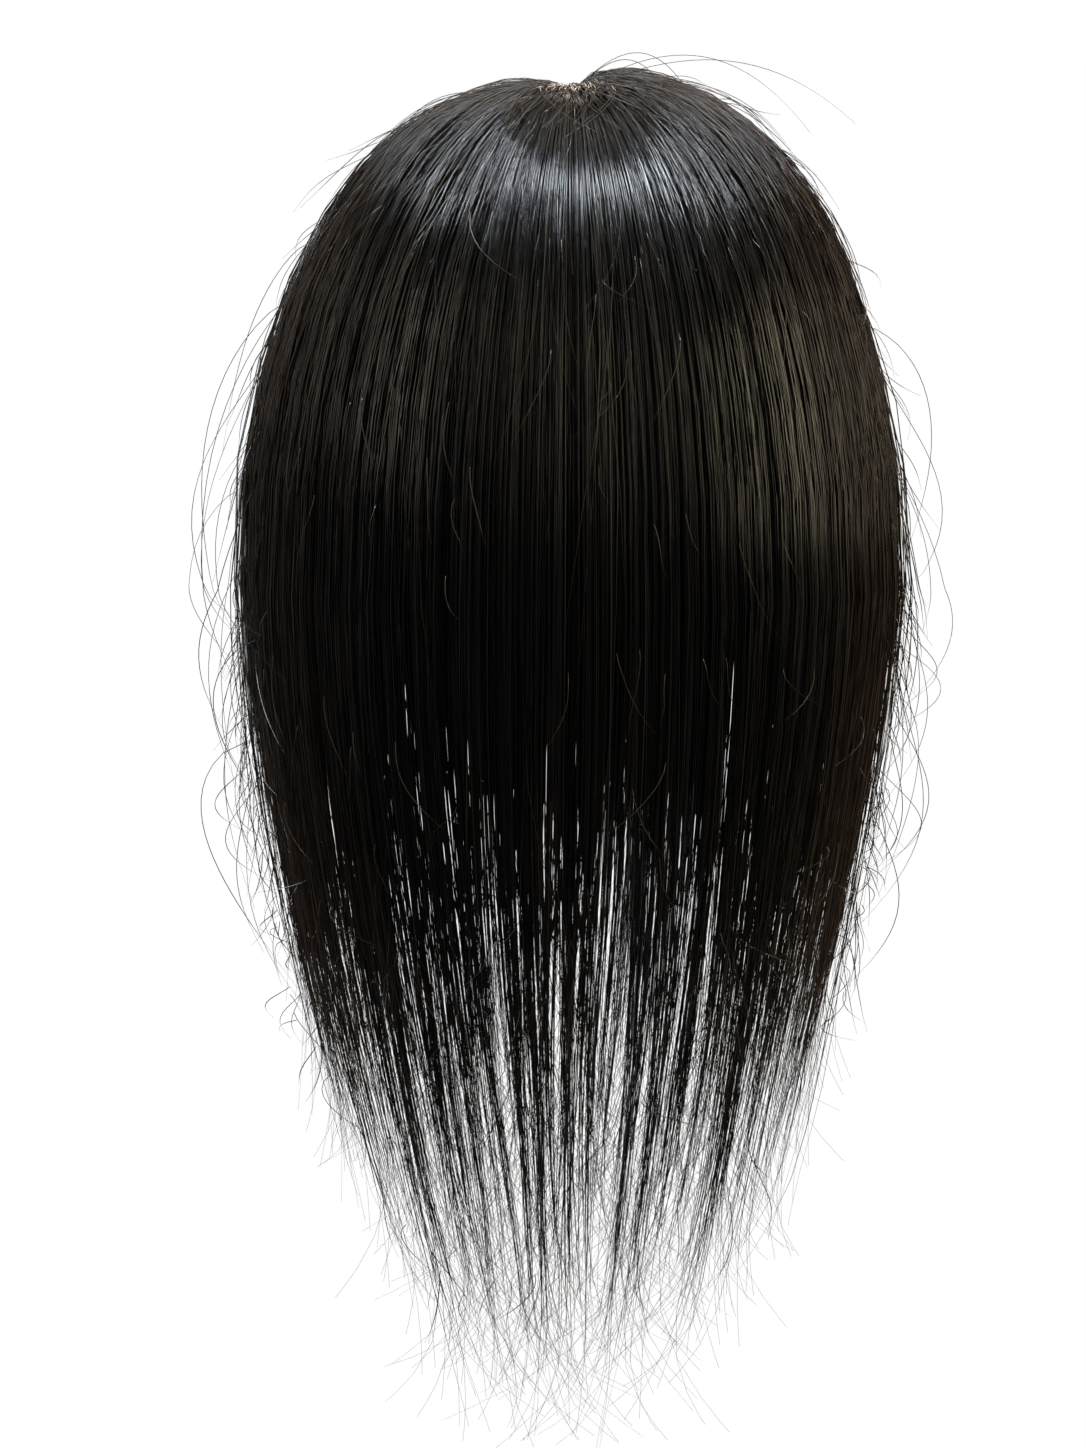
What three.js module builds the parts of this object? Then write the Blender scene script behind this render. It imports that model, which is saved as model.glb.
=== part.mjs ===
// A long straight hair topper as it sits on a head: a shallow cap with four plain
// clips under it, and the hair laid over it in seven sections of locks.
// Millimetres, +Z up. The wearer faces -Y and their left is +X.
// The origin is the top of the head, on the underside of the cap.
import * as THREE from "three";
import { mergeVertices } from "three/addons/utils/BufferGeometryUtils.js";

// The room inside the hair
const hollowHalfWidth = 80; // from the middle to the hair beside the ear
const hollowBack = 97; // from the middle to the hair behind the head
const hollowFront = 90; // from the middle to the hair beside the face
const widestDrop = 128; // from the top of the head down to where the hair stands widest
const crownFullness = 2.2; // 2 would be an ellipsoid, more is squarer

// The cap and its clips
const capThickness = 1.2;
const capHalfWidth = 57;
const capFront = 64; // from the middle to the hairline
const capBack = 52;
const capSquareness = 3; // 2 would be an oval outline
const capSeat = 1; // room between the cap and the hair over it
const clipLength = 34;
const clipWidth = 10;
const clipThickness = 1.4;
const clipSquareness = 4;
const clipSeat = 0.6; // room between a clip and the cap over it
const clipInset = 13; // from the cap's edge to the middle of a clip
const clipFlatShare = 0.5; // share of a clip's underside that is flat

// The parting
const whorlBehind = 14; // the whorl lies this far behind the middle
const partingHalfWidth = 1.2;
const partingFront = 65; // the parting ends this far before the middle
const whorlSpread = 40; // degrees each side of the back whose hair starts at the whorl

// The hair
const hairDepth = 9.6; // thickness of the hair where it stands widest
const longestDrop = 344; // from the top of the head to the longest tip
const backEdge = 28; // degrees from the back to the edge of the hair at the nape
const earEdge = 64; // to the edge of the hair behind the ear
const templeEdge = 101; // to the edge of the hair over the ear
const faceEdge = 138; // to the hair's edge beside the face
const faceThin = 0.4; // share of the depth that is left at that edge
const faceThinSpread = 14; // degrees over which it thins
const leftGather = 0.58; // share of the half width that the hair loses by its tips
const leftGatherBend = 1.85; // 1 would gather evenly on the way down
const rightGather = 0.54;
const rightGatherBend = 1.5;
const backGather = 0.24; // and the same from back to front
const frontGather = 0.16;
const depthGatherBend = 1.6;
const leanBend = 1.6;
const sway = 1.6; // degrees that the locks wander to the side as they fall
const swayAround = 6; // waves of that sway round the head
const swayDown = 3; // radians of it on the way down
const rightSwell = 0.42; // extra depth near the parting on the wearer's right
const swellSpread = 60; // degrees from the back to where it is full
const swellReach = 0.7; // share of the way to the widest level that it takes up
const crownGroove = 0.86; // depth between two locks at the crown, 1 being no groove
const groove = 0.6; // and where they part
const sectionGap = 0.3;
const forkMiddle = 0.36; // where locks part, as a share of the way from widest to tip
const forkSwing = 0.13; // how much higher or lower some part
const forkStep = 1.9; // radians of that swing for each degree round the head
const unevenLocks = 0.2; // how far a lock's edge strays, as a share of its width
const unevenCrest = 0.14; // and its crest
const unevenStep = 2.3; // radians of that straying from each lock to the next

// Cross sections of a lock on its way down. way is 0 at the root, 1 where the hair is
// widest, 2 where the locks part and 3 at the tip. depth and width are shares.
const stations = [
  { way: 0, depth: 0.18, width: 1 },
  { way: 0.04, depth: 0.46, width: 1 },
  { way: 0.11, depth: 0.68, width: 1 },
  { way: 0.21, depth: 0.79, width: 1 },
  { way: 0.33, depth: 0.84, width: 1 },
  { way: 0.46, depth: 0.88, width: 1 },
  { way: 0.59, depth: 0.92, width: 1 },
  { way: 0.72, depth: 0.96, width: 1 },
  { way: 0.86, depth: 0.99, width: 1 },
  { way: 1, depth: 1, width: 1 },
  { way: 1.5, depth: 0.96, width: 1 },
  { way: 2, depth: 0.86, width: 1 },
  { way: 2.25, depth: 0.76, width: 0.9 },
  { way: 2.5, depth: 0.62, width: 0.74 },
  { way: 2.75, depth: 0.44, width: 0.5 },
  { way: 3, depth: 0.2, width: 0.14 },
];
const rimOuter = 0.62; // a parted lock's edges thin towards its tip: outer face
const rimInner = 0.26; // and inner face, both as shares of the depth there

// Each section of hair, by degrees from the back. lean is how far the longest tips at
// its middle are turned about the neck. tips and lifts have one entry for each lock:
// how far it falls below the widest level, as a share of the longest, and how proud
// it stands.
const sections = [
  {
    name: "back_hair",
    from: -backEdge,
    to: backEdge,
    lean: 2,
    tips: [0.9, 0.98, 0.92, 1, 0.93, 0.99, 0.91, 0.96],
    lifts: [1, 0.92, 1.04, 0.95, 1.05, 0.98, 0.93, 1.03],
  },
  {
    name: "back_left_hair",
    from: backEdge,
    to: earEdge,
    lean: -8,
    tips: [0.98, 0.94, 0.99, 0.9, 0.94],
    lifts: [0.95, 1.05, 0.98, 1.06, 0.93],
  },
  {
    name: "side_left_hair",
    from: earEdge,
    to: templeEdge,
    lean: -9,
    tips: [0.86, 0.91, 0.84, 0.88, 0.83],
    lifts: [1.04, 0.94, 1.05, 0.97, 1.02],
  },
  {
    name: "front_left_hair",
    from: templeEdge,
    to: faceEdge,
    lean: -4,
    tips: [0.88, 0.84, 0.91, 0.87, 0.8],
    lifts: [0.96, 1.05, 0.94, 1.03, 0.97],
  },
  {
    name: "back_right_hair",
    from: -earEdge,
    to: -backEdge,
    lean: 5,
    tips: [0.85, 0.9, 0.86, 0.93, 0.88],
    lifts: [1.02, 0.93, 1.05, 0.96, 1.04],
  },
  {
    name: "side_right_hair",
    from: -templeEdge,
    to: -earEdge,
    lean: 5,
    tips: [0.81, 0.86, 0.82, 0.87, 0.83],
    lifts: [0.97, 1.04, 0.92, 1.03, 0.95],
  },
  {
    name: "front_right_hair",
    from: -faceEdge,
    to: -templeEdge,
    lean: 4,
    tips: [0.81, 0.89, 0.84, 0.9, 0.85],
    lifts: [0.95, 1.04, 0.93, 1.05, 0.98],
  },
];

const outerColumns = [0, 0.25, 0.5, 0.75, 1]; // across one lock
const innerColumns = [0, 1];

const fallLength = longestDrop - widestDrop;
const hollowRise = widestDrop + capThickness + capSeat;
const { lerp, degToRad, clamp } = THREE.MathUtils;

// Collects triangles, then makes one closed geometry with shared corners.
class Skin {
  constructor() {
    this.corners = [];
  }

  triangle(a, b, c) {
    for (const p of [a, b, c]) this.corners.push(p.x, p.y, p.z);
  }

  quad(a, b, c, d) {
    this.triangle(a, b, c);
    this.triangle(a, c, d);
  }

  // Fills the band between two rows of points, which may differ in number.
  band(top, bottom) {
    let i = 0;
    let j = 0;
    while (i < top.length - 1 || j < bottom.length - 1) {
      const nextTop = (i + 1) / (top.length - 1);
      const nextBottom = (j + 1) / (bottom.length - 1);
      if (nextTop <= nextBottom) this.triangle(top[i], top[++i], bottom[j]);
      else this.triangle(top[i], bottom[j + 1], bottom[j++]);
    }
  }

  geometry() {
    const made = new THREE.BufferGeometry();
    const positions = new THREE.Float32BufferAttribute(this.corners, 3);
    made.setAttribute("position", positions);
    const merged = mergeVertices(made, 1e-4);
    merged.computeVertexNormals();
    return merged;
  }
}

// The crown is one half of a squared ellipsoid whose back and front differ.
const depthOf = (y) => (y > 0 ? hollowBack : hollowFront);

function crownPoint(x, y) {
  const r = Math.min(Math.hypot(x / hollowHalfWidth, y / depthOf(y)), 1);
  const h = (1 - r ** crownFullness) ** (1 / crownFullness);
  return new THREE.Vector3(x, y, hollowRise * h - widestDrop);
}

function crownNormal(p) {
  const b = depthOf(p.y);
  const r = Math.max(Math.hypot(p.x / hollowHalfWidth, p.y / b), 1e-6);
  const h = Math.max((p.z + widestDrop) / hollowRise, 0);
  const flat = r ** (crownFullness - 2);
  return new THREE.Vector3(
    (flat * p.x) / hollowHalfWidth ** 2,
    (flat * p.y) / b ** 2,
    h ** (crownFullness - 1) / hollowRise,
  ).normalize();
}

// Where the hair that falls at this angle from the back leaves the parting.
function rootAt(angle) {
  const turned = Math.min(Math.abs(angle) / whorlSpread, 1) * 90;
  const beyond = Math.max(Math.abs(angle) - whorlSpread, 0);
  const forward = beyond / (faceEdge - whorlSpread);
  return new THREE.Vector2(
    Math.sign(angle) * partingHalfWidth * Math.sin(degToRad(turned)),
    whorlBehind +
      partingHalfWidth * Math.cos(degToRad(turned)) -
      forward * (whorlBehind + partingFront),
  );
}

// How far the longest tips are turned at this angle, blended from section to section.
function leanAt(angle) {
  const known = sections
    .map(({ from, to, lean }) => ({ at: (from + to) / 2, lean }))
    .sort((a, b) => a.at - b.at);
  const after = known.findIndex(({ at }) => at > angle);
  if (after === 0) return known[0].lean;
  if (after < 0) return known.at(-1).lean;
  const [a, b] = [known[after - 1], known[after]];
  return lerp(a.lean, b.lean, (angle - a.at) / (b.at - a.at));
}

// The inner face of the falling hair, drop being 0 where it is widest and 1 at the longest tip.
function fallPoint(angle, drop) {
  const wander = sway * drop * Math.sin(degToRad(swayAround * angle) + swayDown * drop);
  const a = degToRad(angle + leanAt(angle) * drop ** leanBend + wander);
  const aside =
    Math.sin(a) > 0 ? leftGather * drop ** leftGatherBend : rightGather * drop ** rightGatherBend;
  const width = hollowHalfWidth * (1 - aside);
  const behind = Math.cos(a) > 0;
  const gather = behind ? backGather : frontGather;
  const depth = (behind ? hollowBack : hollowFront) * (1 - gather * drop ** depthGatherBend);
  return {
    at: new THREE.Vector3(
      width * Math.sin(a),
      depth * Math.cos(a),
      -widestDrop - drop * fallLength,
    ),
    out: new THREE.Vector3(
      Math.sin(a) / width,
      Math.cos(a) / depth,
      0,
    ).normalize(),
  };
}

function forkAt(angle) {
  return forkMiddle + forkSwing * Math.sin(forkStep * angle);
}

// How thick the hair is there, as a share of hairDepth.
function depthAt(angle, { way, depth }) {
  const toEdge = clamp((faceEdge - Math.abs(angle)) / faceThinSpread, 0, 1);
  const thinned = lerp(faceThin, 1, Math.sin((toEdge * Math.PI) / 2));
  const swell = Math.sin(Math.PI * clamp(way / swellReach, 0, 1));
  const toRight = clamp(-angle / swellSpread, 0, 1);
  return depth * thinned * (1 + rightSwell * swell * toRight);
}

// A point on the inner face of the hair, and the way out from there.
function innerPoint(lock, across, way, width) {
  const own = lerp(lock.from, lock.to, across);
  if (way <= 1) {
    const edge = fallPoint(own, 0).at;
    const root = rootAt(own);
    const run = Math.sin(degToRad(90 * way));
    const at = crownPoint(lerp(root.x, edge.x, run), lerp(root.y, edge.y, run));
    return { at, out: crownNormal(at) };
  }
  const fork = lerp(forkAt(lock.from), forkAt(lock.to), across);
  if (way <= 2) return fallPoint(own, (way - 1) * fork);
  const middle = (lock.from + lock.to) / 2;
  const angle = middle + (own - middle) * width;
  return fallPoint(angle, lerp(fork, lock.tip, way - 2));
}

// Edges of a section are set back by half the gap, along the row.
function setBack(lock, across, way, width) {
  const edge = (across === 0 && lock.first) || (across === 1 && lock.last);
  const here = innerPoint(lock, across, way, width);
  if (!edge) return here;
  const nextColumn = Math.abs(across - outerColumns[1]);
  const inside = innerPoint(lock, nextColumn, way, width).at;
  const step = inside.sub(here.at).normalize();
  here.at.addScaledVector(step, sectionGap / 2);
  return here;
}

function lockRow(lock, station, columns, outer) {
  const unparted = Math.min(station.way / 2, 1);
  const parted = Math.max(station.way - 2, 0);
  const rim = lerp(lerp(crownGroove, groove, unparted), rimOuter, parted);
  return columns.map((across) => {
    const { at, out } = setBack(lock, across, station.way, station.width);
    const side = across < lock.crest ? lock.crest : 1 - lock.crest;
    const aside = ((across - lock.crest) / side) ** 2; // 0 on the crest, 1 at the edges
    const share = outer ? lerp(lock.lift, rim, aside) : rimInner * parted * aside;
    const depth = depthAt(lerp(lock.from, lock.to, across), station);
    return at.addScaledVector(out, share * depth * hairDepth);
  });
}

function addLock(skin, lock) {
  const outer = stations.map((s) => lockRow(lock, s, outerColumns, true));
  const inner = stations.map((s) => lockRow(lock, s, innerColumns, false));
  const last = stations.length - 1;
  skin.band(inner[0], outer[0]);
  for (let row = 0; row < last; row++) {
    skin.band(outer[row], outer[row + 1]);
    skin.band(inner[row + 1], inner[row]);
    const parted = stations[row].way >= 2;
    if (lock.first || parted)
      skin.quad(outer[row][0], outer[row + 1][0], inner[row + 1][0], inner[row][0]);
    if (lock.last || parted)
      skin.quad(
        inner[row].at(-1),
        inner[row + 1].at(-1),
        outer[row + 1].at(-1),
        outer[row].at(-1),
      );
  }
  skin.band(outer[last], inner[last]);
}

function hairSection({ from, to, tips, lifts }) {
  const skin = new Skin();
  const last = tips.length - 1;
  const edge = (i) => {
    const stray = i > 0 && i <= last ? unevenLocks * Math.sin(i * unevenStep + from) : 0;
    return lerp(from, to, (i + stray) / (last + 1));
  };
  tips.forEach((tip, i) => {
    addLock(skin, {
      from: edge(i),
      to: edge(i + 1),
      first: i === 0,
      last: i === last,
      crest: 0.5 + unevenCrest * Math.sin(i * unevenStep + to),
      lift: lifts[i],
      tip,
    });
  });
  return skin.geometry();
}

// A curved plate under the crown. outline gives a plan point for a turn and a share of
// the way out from the middle, and everything inside flatShare has a flat underside.
function crownPlate({ outline, rings, sides, inset, thickness, flatShare = 0 }) {
  const skin = new Skin();
  const middle = outline(0, 0);
  const centre = crownPoint(middle.x, middle.y);
  const up = crownNormal(centre);
  const under = centre.clone().addScaledVector(up, -inset - thickness);
  const point = (ring, side, low) => {
    const share = ring / rings;
    const plan = outline((side / sides) * 2 * Math.PI, share);
    const top = crownPoint(plan.x, plan.y);
    const out = crownNormal(top);
    top.addScaledVector(out, -inset - (low ? thickness : 0));
    if (low && share <= flatShare)
      top.addScaledVector(up, under.clone().sub(top).dot(up));
    return top;
  };
  for (let side = 0; side < sides; side++) {
    const next = (side + 1) % sides;
    for (let ring = 0; ring < rings; ring++) {
      const face = (low) => [
        point(ring, side, low),
        point(ring + 1, side, low),
        point(ring + 1, next, low),
        point(ring, next, low),
      ];
      const top = face(false);
      const bottom = face(true);
      if (ring === 0) {
        skin.triangle(top[0], top[1], top[2]);
        skin.triangle(bottom[0], bottom[2], bottom[1]);
        continue;
      }
      skin.quad(...top);
      skin.quad(...bottom.reverse());
    }
    const edge = [point(rings, side, true), point(rings, next, true)];
    skin.quad(edge[0], edge[1], point(rings, next, false), point(rings, side, false));
  }
  return skin.geometry();
}

// A rounded outline about (x, y): squareness 2 is an oval, more is squarer.
function roundedOutline(x, y, halfX, back, front, squareness) {
  return (turn, share) => {
    const c = Math.cos(turn);
    const s = Math.sin(turn);
    const grow = (Math.abs(c) ** squareness + Math.abs(s) ** squareness) ** (-1 / squareness);
    return new THREE.Vector2(
      x + share * grow * c * halfX,
      y + share * grow * s * (s > 0 ? back : front),
    );
  };
}

function cap() {
  return crownPlate({
    outline: roundedOutline(0, 0, capHalfWidth, capBack, capFront, capSquareness),
    rings: 7,
    sides: 32,
    inset: capSeat,
    thickness: capThickness,
  });
}

function clip(x, y, halfX, halfY) {
  return crownPlate({
    outline: roundedOutline(x, y, halfX, halfY, halfY, clipSquareness),
    rings: 4,
    sides: 16,
    inset: capSeat + capThickness + clipSeat,
    thickness: clipThickness,
    flatShare: clipFlatShare,
  });
}

const halfLong = clipLength / 2;
const halfWide = clipWidth / 2;
const clips = [
  { name: "front_clip", x: 0, y: clipInset - capFront, halfX: halfLong, halfY: halfWide },
  { name: "back_clip", x: 0, y: capBack - clipInset, halfX: halfLong, halfY: halfWide },
  { name: "left_clip", x: capHalfWidth - clipInset, y: 0, halfX: halfWide, halfY: halfLong },
  { name: "right_clip", x: clipInset - capHalfWidth, y: 0, halfX: halfWide, halfY: halfLong },
];

const hairMaterial = new THREE.MeshStandardMaterial({
  name: "hair",
  color: 0x17120f,
  roughness: 0.38,
  metalness: 0,
});
const capMaterial = new THREE.MeshStandardMaterial({
  name: "cap_net",
  color: 0x2a221d,
  roughness: 0.8,
  metalness: 0,
});
const clipMaterial = new THREE.MeshStandardMaterial({
  name: "clip_steel",
  color: 0x241f1d,
  roughness: 0.35,
  metalness: 0.8,
});

function addMesh(group, name, geometry, material) {
  const mesh = new THREE.Mesh(geometry, material);
  mesh.name = name;
  group.add(mesh);
}

const topper = new THREE.Group();
addMesh(topper, "base_cap", cap(), capMaterial);
for (const { name, x, y, halfX, halfY } of clips)
  addMesh(topper, name, clip(x, y, halfX, halfY), clipMaterial);
for (const section of sections)
  addMesh(topper, section.name, hairSection(section), hairMaterial);

export default topper;
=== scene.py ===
# A long straight hair topper seen from behind: strands laid through its seven hair
# solids, a net base and four clips under it. Metres, +Z up, the wearer faces -Y.
import math

import bpy
import numpy as np
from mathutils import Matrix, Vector


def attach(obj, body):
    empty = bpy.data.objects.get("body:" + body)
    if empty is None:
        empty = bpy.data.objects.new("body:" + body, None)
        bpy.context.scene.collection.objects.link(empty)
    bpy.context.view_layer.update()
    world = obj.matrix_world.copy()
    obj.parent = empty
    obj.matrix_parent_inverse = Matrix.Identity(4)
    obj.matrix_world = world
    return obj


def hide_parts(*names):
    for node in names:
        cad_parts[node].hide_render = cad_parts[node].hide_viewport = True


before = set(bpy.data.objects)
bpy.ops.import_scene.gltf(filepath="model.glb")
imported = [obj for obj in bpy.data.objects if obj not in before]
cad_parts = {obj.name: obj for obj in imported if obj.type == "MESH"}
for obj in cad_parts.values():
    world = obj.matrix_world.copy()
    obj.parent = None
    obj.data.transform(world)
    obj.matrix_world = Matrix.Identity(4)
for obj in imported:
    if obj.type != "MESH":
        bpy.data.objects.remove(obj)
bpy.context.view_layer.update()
print("frame loaded")

# Sizes that the hair follows, the same as the solids' own. Angles are degrees from the back.
form = {
    "halfWidth": 0.080,
    "back": 0.097,
    "front": 0.090,
    "widestDrop": 0.128,  # top of the head down to the widest level
    "longestDrop": 0.344,
    "fullness": 2.2,
    "capThickness": 0.0012,
    "capSeat": 0.001,
    "whorlBehind": 0.014,
    "whorlSpread": 40,
    "partingHalfWidth": 0.0012,
    "partingFront": 0.065,
    "depth": 0.0096,  # of the hair where it stands widest
    "faceEdge": 138,
    "faceThin": 0.4,
    "faceThinSpread": 14,
    "leftGather": 0.58,
    "leftGatherBend": 1.85,
    "rightGather": 0.54,
    "rightGatherBend": 1.5,
    "backGather": 0.24,
    "frontGather": 0.16,
    "depthGatherBend": 1.6,
    "leanBend": 1.6,
    "sway": 1.6,
    "swayAround": 6,
    "swayDown": 3,
    "rightSwell": 0.42,
    "swellSpread": 60,
    "swellReach": 0.7,
    "crownGroove": 0.86,
    "groove": 0.6,
    "rimOuter": 0.62,
    "rimInner": 0.26,
    "forkMiddle": 0.36,
    "forkSwing": 0.13,
    "forkStep": 1.9,
    "unevenLocks": 0.2,
    "unevenCrest": 0.14,
    "unevenStep": 2.3,
}
fallLength = form["longestDrop"] - form["widestDrop"]
rise = form["widestDrop"] + form["capThickness"] + form["capSeat"]

# way down a lock: 0 root, 1 widest level, 2 where locks part, 3 tip
lockStations = {
    "way": [0, 0.04, 0.11, 0.21, 0.33, 0.46, 0.59, 0.72, 0.86, 1, 1.5, 2, 2.25, 2.5, 2.75, 3],
    "depth": [0.18, 0.46, 0.68, 0.79, 0.84, 0.88, 0.92, 0.96, 0.99, 1, 0.96, 0.86, 0.76, 0.62, 0.44, 0.2],
    "width": [1, 1, 1, 1, 1, 1, 1, 1, 1, 1, 1, 1, 0.9, 0.74, 0.5, 0.14],
}

# Strands round off the dip beside the whorl, and lie a little lower on the wearer's left
crownFill = {
    "way": [0, 0.02, 0.05, 0.10, 0.16, 0.24],
    "depth": [0.20, 0.46, 0.60, 0.68, 0.74, 0.79],
    "sink": 0.16,
    "sinkWay": 0.10,
    "sinkReach": 0.13,
    "sides": (20, 60),  # degrees from the back over which both set in
}

# node: first and last angle, lean of the tips, then how far each lock falls and how proud it stands
hairSections = {
    "back_hair": (-28, 28, 2, [0.9, 0.98, 0.92, 1, 0.93, 0.99, 0.91, 0.96],
                  [1, 0.92, 1.04, 0.95, 1.05, 0.98, 0.93, 1.03]),
    "back_left_hair": (28, 64, -8, [0.98, 0.94, 0.99, 0.9, 0.94], [0.95, 1.05, 0.98, 1.06, 0.93]),
    "side_left_hair": (64, 101, -9, [0.86, 0.91, 0.84, 0.88, 0.83], [1.04, 0.94, 1.05, 0.97, 1.02]),
    "front_left_hair": (101, 138, -4, [0.88, 0.84, 0.91, 0.87, 0.8], [0.96, 1.05, 0.94, 1.03, 0.97]),
    "back_right_hair": (-64, -28, 5, [0.85, 0.9, 0.86, 0.93, 0.88], [1.02, 0.93, 1.05, 0.96, 1.04]),
    "side_right_hair": (-101, -64, 5, [0.81, 0.86, 0.82, 0.87, 0.83], [0.97, 1.04, 0.92, 1.03, 0.95]),
    "front_right_hair": (-138, -101, 4, [0.81, 0.89, 0.84, 0.9, 0.85], [0.95, 1.04, 0.93, 1.05, 0.98]),
}


def lerp(a, b, t):
    return a + (b - a) * t


def smoothStep(low, high, x):
    t = np.clip((x - low) / (high - low), 0, 1)
    return t * t * (3 - 2 * t)


def unit(v):
    return v / np.maximum(np.linalg.norm(v, axis=-1, keepdims=True), 1e-9)


# The crown is half of a squared ellipsoid whose back is longer than its front.
def crownPoint(x, y):
    b = np.where(y > 0, form["back"], form["front"])
    r = np.minimum(np.hypot(x / form["halfWidth"], y / b), 1)
    h = (1 - r ** form["fullness"]) ** (1 / form["fullness"])
    return np.stack([x, y, rise * h - form["widestDrop"]], -1)


def crownNormal(p):
    b = np.where(p[..., 1] > 0, form["back"], form["front"])
    r = np.maximum(np.hypot(p[..., 0] / form["halfWidth"], p[..., 1] / b), 1e-6)
    h = np.maximum((p[..., 2] + form["widestDrop"]) / rise, 0)
    flat = r ** (form["fullness"] - 2)
    parts = [
        flat * p[..., 0] / form["halfWidth"] ** 2,
        flat * p[..., 1] / b**2,
        h ** (form["fullness"] - 1) / rise,
    ]
    return unit(np.stack(parts, -1))


# Where the hair that falls at this angle leaves the whorl or the parting
def rootAt(angle):
    spread = form["whorlSpread"]
    turned = np.radians(np.minimum(np.abs(angle) / spread, 1) * 90)
    forward = np.maximum(np.abs(angle) - spread, 0) / (form["faceEdge"] - spread)
    x = np.sign(angle) * form["partingHalfWidth"] * np.sin(turned)
    y = form["whorlBehind"] + form["partingHalfWidth"] * np.cos(turned)
    return x, y - forward * (form["whorlBehind"] + form["partingFront"])


leanKnown = sorted(((a + b) / 2, lean) for a, b, lean, tips, lifts in hairSections.values())


# The inner face of the falling hair: drop is 0 where it is widest and 1 at the longest tip
def fallPoint(angle, drop):
    lean = np.interp(angle, [k[0] for k in leanKnown], [k[1] for k in leanKnown])
    drop = np.maximum(drop, 0)
    swayAt = np.radians(form["swayAround"] * angle) + form["swayDown"] * drop
    wander = form["sway"] * drop * np.sin(swayAt)
    a = np.radians(angle + lean * drop ** form["leanBend"] + wander)
    left = form["leftGather"] * drop ** form["leftGatherBend"]
    right = form["rightGather"] * drop ** form["rightGatherBend"]
    width = form["halfWidth"] * (1 - np.where(np.sin(a) > 0, left, right))
    behind = np.cos(a) > 0
    gather = np.where(behind, form["backGather"], form["frontGather"])
    depth = np.where(behind, form["back"], form["front"])
    depth = depth * (1 - gather * drop ** form["depthGatherBend"])
    z = -form["widestDrop"] - drop * fallLength
    at = np.stack([width * np.sin(a), depth * np.cos(a), z], -1)
    out = unit(np.stack([np.sin(a) / width, np.cos(a) / depth, 0 * z], -1))
    return at, out


# A point over the crown, way being its share of the run from the root to the widest level
def overCrown(angle, way):
    rootX, rootY = rootAt(angle)
    edge = fallPoint(angle, 0 * angle)[0]
    run = np.sin(np.clip(way, 0, 1) * math.pi / 2)
    return crownPoint(lerp(rootX, edge[..., 0], run), lerp(rootY, edge[..., 1], run))


# How far down the locks part at this angle
def forkAt(angle):
    return form["forkMiddle"] + form["forkSwing"] * np.sin(form["forkStep"] * angle)


def thickness(angle, way):
    depth = np.interp(way, lockStations["way"], lockStations["depth"])
    filled = np.maximum(depth, np.interp(way, crownFill["way"], crownFill["depth"]))
    depth = lerp(depth, filled, smoothStep(*crownFill["sides"], np.abs(angle)))
    sunk = np.exp(-(((way - crownFill["sinkWay"]) / crownFill["sinkReach"]) ** 2))
    depth = depth - crownFill["sink"] * sunk * smoothStep(*crownFill["sides"], angle)
    toEdge = np.clip((form["faceEdge"] - np.abs(angle)) / form["faceThinSpread"], 0, 1)
    thinned = lerp(form["faceThin"], 1, np.sin(toEdge * math.pi / 2))
    swell = np.sin(math.pi * np.clip(way / form["swellReach"], 0, 1))
    toRight = np.clip(-angle / form["swellSpread"], 0, 1)
    return depth * thinned * (1 + form["rightSwell"] * swell * toRight) * form["depth"]


# The locks of one section: their edges, crests, tips and lifts
def lockTable(first, last, tips, lifts):
    count = len(tips)
    i = np.arange(count + 1)
    stray = form["unevenLocks"] * np.sin(i * form["unevenStep"] + first)
    stray[[0, count]] = 0
    return {
        "edges": lerp(first, last, (i + stray) / count),
        "crests": 0.5 + form["unevenCrest"] * np.sin(i[:-1] * form["unevenStep"] + last),
        "tips": np.array(tips),
        "lifts": np.array(lifts),
    }


# A point of a strand. own is its angle, share its place between the inner and outer face
def hairPoint(locks, lock, own, way, drop, share):
    low, high = locks["edges"][lock], locks["edges"][lock + 1]
    crest, tip, lift = locks["crests"][lock], locks["tips"][lock], locks["lifts"][lock]
    across = np.clip((own - low) / (high - low), 0, 1)
    fork = lerp(forkAt(low), forkAt(high), across)
    fallen = np.where(drop <= fork, 1 + drop / fork, 2 + (drop - fork) / (tip - fork))
    level = np.where(drop > 0, np.minimum(fallen, 3), way)
    width = np.interp(level, lockStations["way"], lockStations["width"]) ** strandLook["lockGather"]
    middle = (low + high) / 2
    fallAt, fallOut = fallPoint(middle + (own - middle) * width, drop)
    crownAt = overCrown(own, way)
    falling = (drop > 0)[..., None]
    at = np.where(falling, fallAt, crownAt)
    out = np.where(falling, fallOut, crownNormal(crownAt))
    parted = np.clip(level - 2, 0, 1)
    groove = lerp(form["crownGroove"], form["groove"], np.minimum(level / 2, 1))
    rim = lerp(groove, form["rimOuter"], parted)
    aside = ((across - crest) / np.where(across < crest, crest, 1 - crest)) ** 2
    outer = lerp(lift, rim, aside)
    inner = form["rimInner"] * parted * aside
    return at + out * (lerp(inner, outer, share) * thickness(own, level))[..., None], out


tubePoint = 2  # how long a tube's pointed end is, in its own widths


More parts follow.
